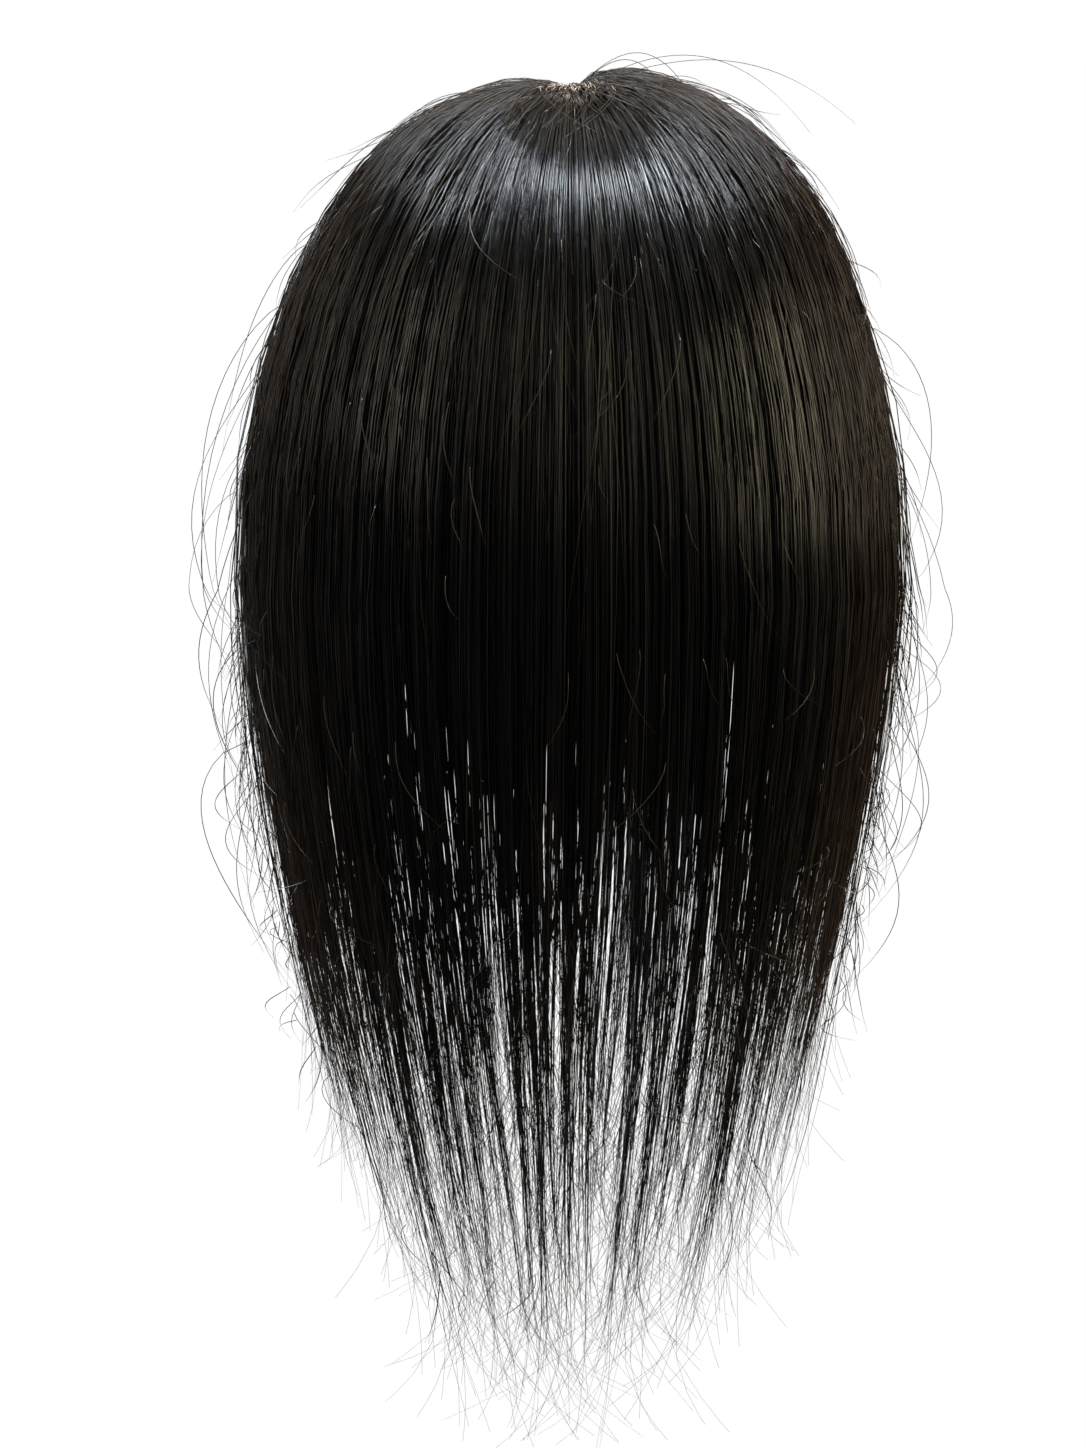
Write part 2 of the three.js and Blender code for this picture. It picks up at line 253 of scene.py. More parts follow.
# Closed three-sided tubes with pointed ends, one for each row of points
def strandTubes(points, outs, widths, tones, warmths, flat):
    count, rings = points.shape[:2]
    along = unit(np.gradient(points, axis=1))
    side = unit(np.cross(along, outs))
    up = np.cross(side, along) * flat
    turns = np.radians([0, 120, 240])
    ringPoints = points[:, :, None] + 0.5 * widths[:, :, None, None] * (
        np.cos(turns)[None, None, :, None] * up[:, :, None]
        + np.sin(turns)[None, None, :, None] * side[:, :, None]
    )
    tipLength = tubePoint * widths
    start = points[:, 0] - along[:, 0] * tipLength[:, :1]
    end = points[:, -1] + along[:, -1] * tipLength[:, -1:]
    corners = np.concatenate([ringPoints.reshape(count, -1, 3), start[:, None], end[:, None]], 1)
    perStrand = 3 * rings + 2
    ring = np.arange(rings - 1)[:, None]
    k = np.arange(3)[None]
    nextK = (k + 1) % 3
    here, below = 3 * ring, 3 * ring + 3
    quads = np.stack([here + k, here + nextK, below + nextK, below + k], -1).reshape(-1, 4)
    k, nextK = k[0], nextK[0]
    lastRing = 3 * (rings - 1)
    starts = np.stack([0 * k + 3 * rings, nextK, k], -1)
    ends = np.stack([lastRing + k, lastRing + nextK, 0 * k + 3 * rings + 1], -1)
    # the same faces laid out flat in one cell of the map
    v = (np.arange(rings) + 1) / (rings + 1)
    ringV, columnU = v[ring], np.arange(3)[None] / 3
    quadU = np.stack([columnU, columnU + 1 / 3, columnU + 1 / 3, columnU], -1) + 0 * ringV[..., None]
    quadV = np.stack([ringV, ringV, v[ring + 1], v[ring + 1]], -1) + 0 * columnU[..., None]
    u3 = k / 3
    startUV = np.stack([u3 + 1 / 6, 0 * u3, u3 + 1 / 3, 0 * u3 + v[0], u3, 0 * u3 + v[0]], -1)
    endUV = np.stack([u3, 0 * u3 + v[-1], u3 + 1 / 3, 0 * u3 + v[-1], u3 + 1 / 6, 0 * u3 + 1], -1)
    flatMap = np.concatenate(
        [np.stack([quadU, quadV], -1).reshape(-1, 2), startUV.reshape(-1, 2), endUV.reshape(-1, 2)]
    )
    offsets = (np.arange(count) * perStrand)[:, None]
    loops = np.concatenate([quads.ravel(), starts.ravel(), ends.ravel()])
    totals = np.concatenate([np.full(len(quads), 4), np.full(6, 3)])
    spread = np.concatenate([np.repeat(np.arange(rings) / (rings - 1), 3), [0, 1]])
    return {
        "corners": corners.reshape(-1, 3),
        "loops": (loops[None] + offsets).ravel(),
        "totals": np.tile(totals, count),
        "map": flatMap,
        "count": count,
        "tone": np.repeat(tones, perStrand),
        "warmth": np.repeat(warmths, perStrand),
        "along": np.tile(spread, count),
    }


def addPiece(name, mesh):
    piece = bpy.data.objects.new(name, mesh)
    bpy.context.scene.collection.objects.link(piece)
    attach(piece, "root")
    return piece


# One mesh of many tubes, whose map gives each tube a square cell of its own
def meshFromTubes(name, batches, material):
    total = sum(b["count"] for b in batches)
    across = math.ceil(math.sqrt(total))
    margin = 0.04  # of a cell
    corners, loops, totals, flat = [], [], [], []
    attributes = {"tone": [], "warmth": [], "along": []}
    first, cell = 0, 0
    for b in batches:
        corners.append(b["corners"])
        loops.append(b["loops"] + first)
        totals.append(b["totals"])
        first += len(b["corners"])
        cells = np.arange(cell, cell + b["count"])
        cell += b["count"]
        at = np.stack([cells % across, cells // across], -1)[:, None]
        flat.append(((at + margin + (1 - 2 * margin) * b["map"][None]) / across).reshape(-1, 2))
        for key in attributes:
            attributes[key].append(b[key])
    corners, loops, totals = (np.concatenate(x) for x in (corners, loops, totals))
    mesh = bpy.data.meshes.new(name)
    mesh.vertices.add(len(corners))
    mesh.vertices.foreach_set("co", corners.astype(np.float32).ravel())
    mesh.loops.add(len(loops))
    mesh.loops.foreach_set("vertex_index", loops.astype(np.int32))
    mesh.polygons.add(len(totals))
    starts = np.concatenate([[0], np.cumsum(totals)[:-1]])
    mesh.polygons.foreach_set("loop_start", starts.astype(np.int32))
    mesh.polygons.foreach_set("use_smooth", np.ones(len(totals), bool))
    mesh.update(calc_edges=True)
    uv = mesh.uv_layers.new(name="OFBake")
    uv.data.foreach_set("uv", np.concatenate(flat).astype(np.float32).ravel())
    for key, values in attributes.items():
        layer = mesh.attributes.new(key, "FLOAT", "POINT")
        layer.data.foreach_set("value", np.concatenate(values).astype(np.float32))
    mesh.materials.append(material)
    print(f"{name}: {total} strands, {int((totals - 2).sum())} triangles")
    return addPiece(name, mesh)


def makeMaterial(name):
    material = bpy.data.materials.new(name)
    material.use_nodes = True
    nodes, links = material.node_tree.nodes, material.node_tree.links
    return material, nodes, links, nodes["Principled BSDF"]


def addNode(nodes, kind, **values):
    node = nodes.new(kind)
    for key, value in values.items():
        if key in node.inputs:
            node.inputs[key].default_value = value
        else:
            setattr(node, key, value)
    return node


def rampNode(nodes, stops):
    ramp = nodes.new("ShaderNodeValToRGB")
    elements = ramp.color_ramp.elements
    while len(elements) < len(stops):
        elements.new(0.5)
    for element, (place, colour) in zip(elements, stops):
        element.position = place
        element.color = (*colour, 1)
    return ramp


# A math node whose terms are sockets or plain numbers
def mathNode(material, operation, terms, clamp=False):
    node = material.node_tree.nodes.new("ShaderNodeMath")
    node.operation = operation
    node.use_clamp = clamp
    for socket, term in zip(node.inputs, terms):
        if isinstance(term, (int, float)):
            socket.default_value = term
        else:
            material.node_tree.links.new(term, socket)
    return node.outputs[0]


# Leads a socket's values from one range to another
def rangeNode(material, value, before, after):
    node = material.node_tree.nodes.new("ShaderNodeMapRange")
    for key, number in zip(("From Min", "From Max", "To Min", "To Max"), (*before, *after)):
        node.inputs[key].default_value = number
    material.node_tree.links.new(value, node.inputs["Value"])
    return node.outputs["Result"]


def attributeValue(nodes, key):
    return addNode(nodes, "ShaderNodeAttribute", attribute_name=key).outputs["Fac"]


hairFinish = {
    "cool": [
        (0, (0.0032, 0.0033, 0.0029)),
        (0.55, (0.0077, 0.0076, 0.0062)),
        (1, (0.043, 0.039, 0.030)),
    ],
    "warm": [
        (0, (0.0092, 0.0058, 0.0041)),
        (0.55, (0.0205, 0.0132, 0.0090)),
        (1, (0.082, 0.055, 0.036)),
    ],
    "darken": 0.2,  # taken off every hair's tone
    "rootPaintedLight": 0.24,  # painted light: how much lighter hairs are near their roots, most of all near the whorl and the parting, where the crown's top catches light
    "rootReach": 0.22,  # of a hair's length
    "tipLift": 0.42,  # how much lighter the last stretch of a hair is
    "tipFrom": 0.55,
    "tipWarmth": 0.5,  # and how much warmer
    "mottle": 0.4,
    "mottleScale": 60,
    "mottleDetail": 3,
    "mottleStretch": (4, 4, 0.5),
    "roughness": (0.14, 0.26),
}


def hairMaterial():
    finish = hairFinish
    material, nodes, links, shader = makeMaterial("hair")
    # tone and warmth carry each hair's own shade and also the painted side light laid on in strandTint
    tone, warmth, along = (attributeValue(nodes, key) for key in ("tone", "warmth", "along"))
    place = nodes.new("ShaderNodeTexCoord")
    stretch = addNode(nodes, "ShaderNodeMapping", Scale=finish["mottleStretch"])
    links.new(place.outputs["Object"], stretch.inputs["Vector"])
    noise = addNode(nodes, "ShaderNodeTexNoise", Scale=finish["mottleScale"], Detail=finish["mottleDetail"])
    links.new(stretch.outputs["Vector"], noise.inputs["Vector"])
    mottle = noise.outputs["Fac"]
    tipSide = rangeNode(material, along, (finish["tipFrom"], 1), (0, finish["tipLift"]))
    # painted light on the crown's top: each hair is lighter near its root
    paintedRootLight = rangeNode(material, along, (0, finish["rootReach"]), (finish["rootPaintedLight"], 0))
    shade = mathNode(material, "MULTIPLY_ADD", (mottle, finish["mottle"], tone))
    shade = mathNode(material, "ADD", (shade, tipSide))
    shade = mathNode(material, "ADD", (shade, paintedRootLight))
    shade = mathNode(material, "SUBTRACT", (shade, finish["darken"]), clamp=True)
    perLift = finish["tipWarmth"] / finish["tipLift"]
    warmer = mathNode(material, "MULTIPLY_ADD", (tipSide, perLift, warmth), clamp=True)
    mix = addNode(nodes, "ShaderNodeMix", data_type="RGBA")
    links.new(warmer, mix.inputs["Factor"])
    # sockets 6 and 7 are this node's two colours, and output 2 its mixed colour
    for key, socket in (("cool", mix.inputs[6]), ("warm", mix.inputs[7])):
        ramp = rampNode(nodes, finish[key])
        links.new(shade, ramp.inputs["Fac"])
        links.new(ramp.outputs["Color"], socket)
    links.new(mix.outputs[2], shader.inputs["Base Color"])
    links.new(rangeNode(material, mottle, (0, 1), finish["roughness"]), shader.inputs["Roughness"])
    return material


hair = hairMaterial()

# What a strand of each kind does. each is per degree, share runs from the inner to the
# outer face, start is on the crown and end is a share of the fall. hold 1 keeps it to its
# wisps, flat is its height for its width, it climbs from the base over rise, and taper is
# the stretch in metres over which it thins to its tip.
plainStrand = {"endBend": 1, "width": 1, "flat": 1, "hold": 1, "rise": 0.2, "taper": 0.055}
strandKinds = {
    "ribbon": {
        **plainStrand, "each": 1.6, "crownRings": 9, "fallRings": 4, "share": (0.12, 0.36),
        "start": (0.02, 0.06), "end": (0.20, 0.40), "width": 6.6, "flat": 0.22, "hold": 0,
        "rise": 0.05, "taper": 0.025,
    },
    "under": {
        **plainStrand, "each": 9, "crownRings": 4, "fallRings": 7, "share": (0.0, 0.5),
        "start": (0.40, 0.60), "end": (0.05, 0.80), "endBend": 1.15,
    },
    "middle": {
        **plainStrand, "each": 11, "crownRings": 8, "fallRings": 6, "share": (0.25, 0.95),
        "start": (0.04, 0.45), "end": (0.16, 0.86),
    },
    "long": {
        **plainStrand, "each": 10, "crownRings": 12, "fallRings": 12, "share": (0.55, 1.0),
        "start": (0, 0.03), "end": (0.47, 1.05), "endBend": 0.78, "rise": 0.045,
    },
}
strandLook = {
    "crownWidth": 0.00042,
    "fallWidth": 0.00030,
    "lowerWidth": 0.82,  # of the fall's width, near the tips
    "tipWidth": 0.00008,
    "widthSpread": (0.7, 1.2),
    "rootWidth": 0.5,  # of its own width, where a hair starts
    "ringBend": (1.35, 1.75),  # rings lie closest at the root and at the tip
    "wispStep": 0.95,  # degrees between fine wisps
    "broadStep": 2.7,
    "wispJitter": 0.38,
    "wispTone": 0.085,
    "wispSway": 0.2,
    "wispPull": 0.34,  # how far a hair is drawn to its wisp, at the widest level
    "tipPull": 0.52,  # and at the longest tip
    "broadPull": 0.16,
    "wispEnd": 0.055,
    "broadEnd": 0.02,
    "wispLift": 0.05,
    "lockGather": 0.2,  # 0 leaves the tips in one even curtain, 1 points every lock
    "overlap": 0.5,  # degrees that a section reaches past its edge
    "drift": 0.26,  # degrees that a hair strays by itself
    "strayShare": 0.11,
    "strayDrift": 2.2,
    "strayRise": 0.10,
    "shareWander": 0.06,
    "clumpSway": (0.12, 0.20),  # degrees that broad wisps sway, at the crown and lower down
    "wave": 0.0016,  # sideways at the tips
    "fineWave": 0.35,  # of the wave, each hair's own
    "curl": 0.016,
    "curlLength": (0.016, 0.055),
    "outwardCurl": 0.6,
    "endLimits": (0.03, 1.02),
    "sideReach": (40, 75),  # degrees over which the back turns into the sides
    "sideCurl": 0.5,
    "sideKeep": 0.6,  # of their depth, for hairs over the ears that aren't outermost
    "sideLength": 0.90,  # hairs over the ears end this much sooner
    "sideThin": (2.8, 3.9),  # and more of them end early, on the wearer's left and right
    "sideSoonest": (0.5, 0.36),
    "frizz": 0.0015,  # how far hairs stand off each other at the tips
    "loose": 0.0060,  # how far the loosest hairs stand off
    "looseShare": (0.16, 0.5),  # of the hairs at the back and at the sides
    "looseBend": (3, 1.5),  # the less, the more of them stand far off
    "looseFrom": (0.45, 1.5),
    "looseRun": (0.3, 1.0),
    "looseBack": 0.4,  # how far they stand off at the back, of what they do at the sides
}
# How fast each sway turns on its way down, in radians from one level to the next
swayTurns = {
    "drift": 3, "driftUneven": 1.5, "wisp": 4, "clump": 3,
    "lift": 6, "wave": 8, "fineWave": 13, "loose": 5,
}


def sectionStrands(name, rng):
    first, last, _, tips, lifts = hairSections[name]
    locks = lockTable(first, last, tips, lifts)
    fine = wispTable(first, last, strandLook["wispStep"], rng)
    broad = wispTable(first, last, strandLook["broadStep"], rng)
    return [oneKind(locks, fine, broad, plan, first, last, rng) for plan in strandKinds.values()]


# Hairs cling together in wisps, each with its own place, sway, height, shade and length
def wispTable(first, last, step, rng):
    look = strandLook
    count = math.ceil((last - first) / step)
    jitter = look["wispJitter"]
    return {
        "first": first,
        "step": step,
        "at": first + (np.arange(count) + 0.5 + rng.uniform(-jitter, jitter, count)) * step,
        "phase": rng.uniform(0, 2 * math.pi, count),
        "lift": rng.normal(0, look["wispLift"], count),
        "tone": rng.normal(0, look["wispTone"], count),
        "end": rng.normal(0, 1, count),
    }


def wispOf(table, angle):
    number = np.floor((angle - table["first"]) / table["step"])
    return np.clip(number, 0, len(table["at"]) - 1).astype(int)


# Rows for the way down: over the crown first, then the fall
def strandRows(plan, start, end, rng):
    count = len(start)
    rootBend, tipBend = strandLook["ringBend"]
    t = np.linspace(0, 1, plan["crownRings"])[None]
    shift = rng.uniform(-0.5, 0.5, count)[:, None] / (plan["crownRings"] - 1)
    t = (t + shift * np.sin(math.pi * t)) ** rootBend
    way = lerp(start[:, None], 1, t)
    fall = 1 - (1 - np.linspace(0, 1, plan["fallRings"] + 1)[None, 1:]) ** tipBend
    fall = fall * end[:, None]
    way = np.concatenate([way, np.ones_like(fall)], 1)
    drop = np.concatenate([np.zeros_like(t), fall], 1)
    return way, drop


# How far down each hair ends, before its lock's own length
def strandEnds(base, sideways, uneven, plan, rng):
    look = strandLook
    thin = np.where(base > 0, *look["sideThin"])
    early = np.where(base > 0, *look["sideSoonest"])
    pick = rng.uniform(0, 1, len(base)) ** (plan["endBend"] * lerp(1, thin, sideways))
    end = lerp(plan["end"][0] * lerp(1, early, sideways), plan["end"][1], pick)
    return (end + uneven) * lerp(1, look["sideLength"], sideways)


# Loosened hairs stand off the rest, each from a level of its own, and all frizz at the tips
def standOff(sideways, outermost, phase, level, drop, rng):
    look = strandLook
    count = len(sideways)
    loose = look["loose"] * rng.uniform(0, 1, count) ** lerp(*look["looseBend"], sideways)
    loose = np.where(rng.uniform(0, 1, count) < lerp(*look["looseShare"], sideways), loose, 0)
    loose = loose * outermost * lerp(look["looseBack"], 1, sideways)
    onset = rng.uniform(*look["looseFrom"], count)[:, None]
    run = rng.uniform(*look["looseRun"], count)[:, None]
    off = smoothStep(0, 0.4, level - onset) - 0.9 * smoothStep(0.3, 0.3 + run, level - onset)
    off = loose[:, None] * off * (0.8 + 0.3 * np.sin(phase + swayTurns["loose"] * drop))
    return off + rng.normal(0, look["frizz"], count)[:, None] * drop**0.8


def lengthToTip(at):
    steps = np.linalg.norm(np.diff(at, axis=1), axis=-1)
    return np.concatenate([np.cumsum(steps[:, ::-1], 1)[:, ::-1], np.zeros((len(at), 1))], 1)


# How far each hair's last stretch curls, sideways and outward
def tipCurl(toTip, end, sideways, rng):
    look = strandLook
    count = len(end)
    curl = rng.normal(0, look["curl"], (2, count)) * smoothStep(0.2, 0.7, end)
    curl = curl * lerp(1, look["sideCurl"], sideways)
    curled = np.clip(1 - toTip / rng.uniform(*look["curlLength"], count)[:, None], 0, 1) ** 2
    return curl[0][:, None] * curled, look["outwardCurl"] * curl[1][:, None] * curled


# Thickest on the crown, thinner down the fall, and tapered at both ends
def strandWidths(plan, way, drop, toTip, rng):
    look = strandLook
    width = lerp(look["crownWidth"], look["fallWidth"], smoothStep(0.5, 1.6, way + drop * 2))
    width = width * lerp(1, look["lowerWidth"], smoothStep(0.2, 0.8, drop))
    width = width * rng.uniform(*look["widthSpread"], len(way))[:, None]
    fromRoot = np.linspace(0, 1, way.shape[1])[None]
    width = width * lerp(look["rootWidth"], 1, smoothStep(0, 0.07, fromRoot)) * plan["width"]
    return np.maximum(width * smoothStep(-0.1, 1, toTip / plan["taper"]), look["tipWidth"])


# All strands of one kind in one section
def oneKind(locks, fine, broad, plan, first, last, rng):
    look, turns, hold = strandLook, swayTurns, plan["hold"]
    count = round(plan["each"] * (last - first))
    jitter = lerp(0.5, rng.uniform(0, 1, count), lerp(0.5, 1, hold))
    place = (np.arange(count) + jitter) / count
    base = lerp(first - look["overlap"], last + look["overlap"], place)
    lock = np.clip(np.searchsorted(locks["edges"], base) - 1, 0, len(locks["tips"]) - 1)
    wisp, clump = wispOf(fine, base), wispOf(broad, base)
    wispPhase, clumpPhase = fine["phase"][wisp][:, None], broad["phase"][clump][:, None]
    phase = rng.uniform(0, 2 * math.pi, (4, count, 1))
    strays = rng.uniform(0, 1, count) < look["strayShare"]
    drift = rng.normal(0, np.where(strays, look["strayDrift"], look["drift"]))[:, None]
    held = rng.uniform(0, 1, count)[:, None]  # how closely a hair keeps to its wisp
    sideways = smoothStep(*look["sideReach"], np.abs(base))
    uneven = look["wispEnd"] * fine["end"][wisp] + look["broadEnd"] * broad["end"][clump]
    end = strandEnds(base, sideways, uneven, plan, rng) * locks["tips"][lock]
    end = np.clip(end, *look["endLimits"])
    start = rng.uniform(*plan["start"], count)
    way, drop = strandRows(plan, start, end, rng)
    level = way + drop
    grow = smoothStep(0.0, 0.4, way)

    # the angle a hair keeps: drawn to its wisps, it strays by itself and sways with them
    pull = look["wispPull"] * smoothStep(0.05, 0.5, way) + (look["tipPull"] - look["wispPull"]) * drop
    own = lerp(base[:, None], fine["at"][wisp][:, None], hold * held * pull)
    broadHeld = hold * look["broadPull"] * rng.uniform(0, 1, count)[:, None]
    own = lerp(own, broad["at"][clump][:, None], broadHeld * smoothStep(0.05, 0.8, drop))
    ownTurns = turns["drift"] + turns["driftUneven"] * np.sin(phase[1])
    own += lerp(0.4, 1, hold) * drift * grow * np.sin(phase[0] + level * ownTurns)
    own += hold * look["wispSway"] * grow * np.sin(wispPhase + turns["wisp"] * level)
    sway = lerp(*look["clumpSway"], smoothStep(0, 0.5, drop))
    own += hold * sway * grow * np.sin(clumpPhase + turns["clump"] * level)
    own = np.clip(own, first - 2 * look["overlap"], last + 2 * look["overlap"])

    # hairs rise from the base, and at the sides most keep inside the loose edge
    share = lerp(*plan["share"], rng.uniform(0, 1, count))[:, None]
    proud = smoothStep(0.86, 0.97, share)
    share = share * lerp(1, look["sideKeep"], sideways[:, None] * smoothStep(0.7, 1.4, level) * (1 - proud))
    share = share + (fine["lift"][wisp] + broad["lift"][clump])[:, None] * grow
    share = share + look["shareWander"] * np.sin(phase[2] + turns["lift"] * level)
    share = share + look["strayRise"] * strays[:, None] * grow
    share = np.clip(share, 0.0, 1.06) * smoothStep(-0.02, plan["rise"], (way - start[:, None]) + drop)
    at, out = hairPoint(locks, lock[:, None], own, way, drop, share)

    across = unit(np.cross(unit(np.gradient(at, axis=1)), out))
    wave = look["wave"] * drop**1.2
    broadWave = np.sin(clumpPhase + turns["wave"] * drop + 0.5 * np.sin(wispPhase))
    at = at + across * (wave * broadWave)[..., None]
    ownWave = np.sin(phase[3] + turns["fineWave"] * drop)
    at = at + across * (look["fineWave"] * wave * ownWave)[..., None]
    outermost = smoothStep(0.5, 0.9, share.max(1))
    at = at + out * standOff(sideways, outermost, phase[1], level, drop, rng)[..., None]
    toTip = lengthToTip(at)
    aside, outward = tipCurl(toTip, end, sideways, rng)
    at = at + across * aside[..., None]
    at = at + out * outward[..., None]
    width = strandWidths(plan, way, drop, toTip, rng)
    tone, warmth = strandTint(base, fine["tone"][wisp], rng)
    return strandTubes(at, out, width, tone, warmth, plan["flat"])


tint = {
    "tone": 0.27,
    "toneSpread": 0.21,
    "rightPaintedLight": 0.10,  # painted light: how much lighter the wearer's right is
    "lightShare": 0.12,
    "lightTone": (0.6, 0.95),
    "leftLightFrom": (35, 80),  # degrees from the back over which painted side light turns the hair brown
    "rightLightFrom": (25, 75),
    # painted side light: how brown the hair over the wearer's left and right is made
    "left": 0.85,
    "right": 0.95,
    "middle": 0.15,
    "warmthSpread": 0.10,
}


# Near black at the back, with painted side light that makes it browner over the ears and most of all on the
# wearer's right
def strandTint(angle, wispTone, rng):
    count = len(angle)
    # painted side light: browner at the sides, and lighter on the wearer's right
    left = smoothStep(*tint["leftLightFrom"], angle)
    right = smoothStep(*tint["rightLightFrom"], -angle)
    tone = rng.normal(tint["tone"], tint["toneSpread"], count) + wispTone + tint["rightPaintedLight"] * right
    light = rng.uniform(0, 1, count) < tint["lightShare"]
    tone = np.where(light, rng.uniform(*tint["lightTone"], count), np.clip(tone, 0, 1))
    warmth = tint["middle"] + (tint["left"] - tint["middle"]) * left
    warmth = warmth + (tint["right"] - tint["middle"]) * right
    return tone, np.clip(warmth + rng.normal(0, tint["warmthSpread"], count), 0, 1)


for number, name in enumerate(hairSections):
    rng = np.random.default_rng(101 + number)
    strands = meshFromTubes(name.replace("hair", "strands"), sectionStrands(name, rng), hair)
    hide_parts(name)
print("hair laid")

# Hairs that have come loose. Angles are from the back; level runs from 0 at the root
# through 1 at the widest level to 2 at the longest tip.
looseColumns = ("count", "angle", "level", "run", "bulge", "end", "sweep", "tone")
looseGroups = {
    "leftLoops":
        (26, (62, 108), (0.55, 1.40), (0.12, 0.6), (0.004, 0.0154), (-0.002, 0.008), 12, (0.2, 0.6)),
    "rightLoops":
        (22, (-108, -62), (0.65, 1.4), (0.12, 0.55), (0.003, 0.0140), (-0.002, 0.008), 12, (0.3, 0.7)),
    "leftEdge":
        (60, (62, 112), (0.3, 1.75), (0.05, 0.2), (0.0, 0.003), (0.002, 0.010), 8, (0.2, 0.6)),
    "rightEdge":
        (60, (-112, -62), (0.3, 1.75), (0.05, 0.2), (0.0, 0.003), (0.002, 0.010), 8, (0.3, 0.7)),
    # the back's strays are light hairs, and their tone also paints in part the glints they catch
    "back":
        (70, (-60, 60), (0.35, 1.5), (0.03, 0.13), (0.0006, 0.0018), (0.0002, 0.0015), 5, (0.8, 1.0)),
    "leftSide":
        (40, (60, 136), (0.35, 1.5), (0.05, 0.2), (0.0006, 0.003), (0.0002, 0.002), 6, (0.6, 1.0)),
    "rightSide":
        (40, (-136, -60), (0.35, 1.5), (0.05, 0.2), (0.0006, 0.003), (0.0002, 0.002), 6, (0.6, 1.0)),
    "crown":
        (90, (-125, 125), (0.12, 0.6), (0.08, 0.3), (0.0004, 0.0022), (0.0002, 0.002), 5, (0.3, 0.8)),
    "tips":
        (180, (-132, 132), (1.40, 1.88), (0.03, 0.13), (-0.003, 0.005), (-0.009, 0.009), 7, (0.3, 0.7)),
}
# From the whorl: how far aside and back, how high, and how far the end falls
crownArcs = {
    "count": 5,
    "reach": (0.035, 0.080),
    "backward": (-0.025, 0.03),
    "from": 0.004,  # over the top of the head
    "peak": (0.004, 0.0165),
    "fall": (0.0, 0.045),
    "tone": (0.3, 0.8),
    "warmth": 0.4,
}
# Short hairs that turn about the whorl as they leave it
whorlHairs = {
    "count": 380,
    "angle": (-130, 130),
    "start": (0.0006, 0.004),
    "length": (0.012, 0.034),
    "swirl": 22,
    "rise": (0.0002, 0.0016),
    # painted highlight: these hairs are made lighter and greyer than the rest, for the light that the whorl
    # catches
    "tone": (0.5, 1.0),
    "warmth": (0.0, 0.35),
    "width": 1.2,
}
# Short hairs that cross the parting before they fall to one side
partingHairs = {
    "count": 520,
    "across": 0.0014,
    "length": (0.006, 0.016),
    "slant": 0.004,
    "rise": (0.0001, 0.0009),
    "clear": 0.0002,
    "tone": (0.15, 0.7),
    "warmth": (0.3, 0.8),
    "width": 1.3,
    "depthAt": 100,  # the angle whose hair's depth they take
}
looseLook = {
    "width": 0.00024,
    "loopRings": 22,
    "strayRings": 10,
    "whorlRings": 9,
    "partingRings": 7,
    "lowest": 1.97,  # the level that no loose hair passes
    "sweepBend": 1.8,
    "sideShare": 0.8,  # how low they reach over the ears, of the hair's own length there
}


# How far hair falls at this angle, as a share of the longest
def localReach(angle):
    middles = [(first + last) / 2 for first, last, lean, tips, lifts in hairSections.values()]
    reaches = [float(np.mean(tips)) for first, last, lean, tips, lifts in hairSections.values()]
    order = np.argsort(middles)
    reach = np.interp(angle, np.array(middles)[order], np.array(reaches)[order])
    sideways = smoothStep(*strandLook["sideReach"], np.abs(angle))
    return reach * lerp(1, looseLook["sideShare"] * strandLook["sideLength"], sideways)


def looseStrands(group, rng):
    count = group["count"]
    rings = looseLook["loopRings" if group["run"][1] > 0.4 else "strayRings"]
    t = np.linspace(0, 1, rings)[None]
    angle = rng.uniform(*group["angle"], count)[:, None]
    first = rng.uniform(*group["level"], count)[:, None]
    level = first + t * np.minimum(rng.uniform(*group["run"], count)[:, None], looseLook["lowest"] - first)
    level = np.where(level > 1, 1 + (level - 1) * localReach(angle), level)
    sweep = rng.normal(0, group["sweep"], count)[:, None]
    own = angle + sweep * t ** looseLook["sweepBend"]
    own = own + 0.3 * np.sin(rng.uniform(0, 6, count)[:, None] + 5 * t)
    bulge = rng.uniform(*group["bulge"], count)[:, None]
    lean = rng.uniform(0.6, 1.4, count)[:, None]
    off = bulge * np.sin(math.pi * t**lean) + rng.uniform(*group["end"], count)[:, None] * t**2
    way, drop = np.minimum(level, 1), np.maximum(level - 1, 0)
    depth = thickness(own, way) * smoothStep(-0.2, 0.2, 1.3 - drop)
    crown = overCrown(own, way)
    fallAt, fallOut = fallPoint(own, drop)
    falling = (drop > 0)[..., None]
    out = np.where(falling, fallOut, crownNormal(crown))
    at = np.where(falling, fallAt, crown) + out * (depth + off)[..., None]
    tone = rng.uniform(*group["tone"], count)
    return strandTubes(at, out, taper(t, count, rng), tone, rng.uniform(0.1, 0.7, count), 1)


# Widths of loose hairs, which thin over their last stretch
def taper(t, count, rng):
    width = looseLook["width"] * rng.uniform(0.8, 1.2, count)[:, None] * (1 - smoothStep(0.6, 1.0, t))
    return np.maximum(width, strandLook["tipWidth"])


def arcStrands(rng):
    plan = crownArcs
    count = plan["count"]
    t = np.linspace(0, 1, looseLook["loopRings"])[None]
    reach = -rng.uniform(*plan["reach"], count)  # to the wearer's right
    x = reach[:, None] * t**0.9
    y = form["whorlBehind"] + rng.uniform(*plan["backward"], count)[:, None] * t
    z = plan["from"] + rng.uniform(*plan["peak"], count)[:, None] * 4 * t * (1 - t)
    z = z - rng.uniform(*plan["fall"], count)[:, None] * t**3
    at = np.stack([x, y, z], -1)
    out = np.tile(np.array([0.0, 0.0, 1.0]), (*x.shape, 1))
    width = taper(t, count, rng)
    return strandTubes(at, out, width, rng.uniform(*plan["tone"], count), plan["warmth"] + 0 * reach, 1)


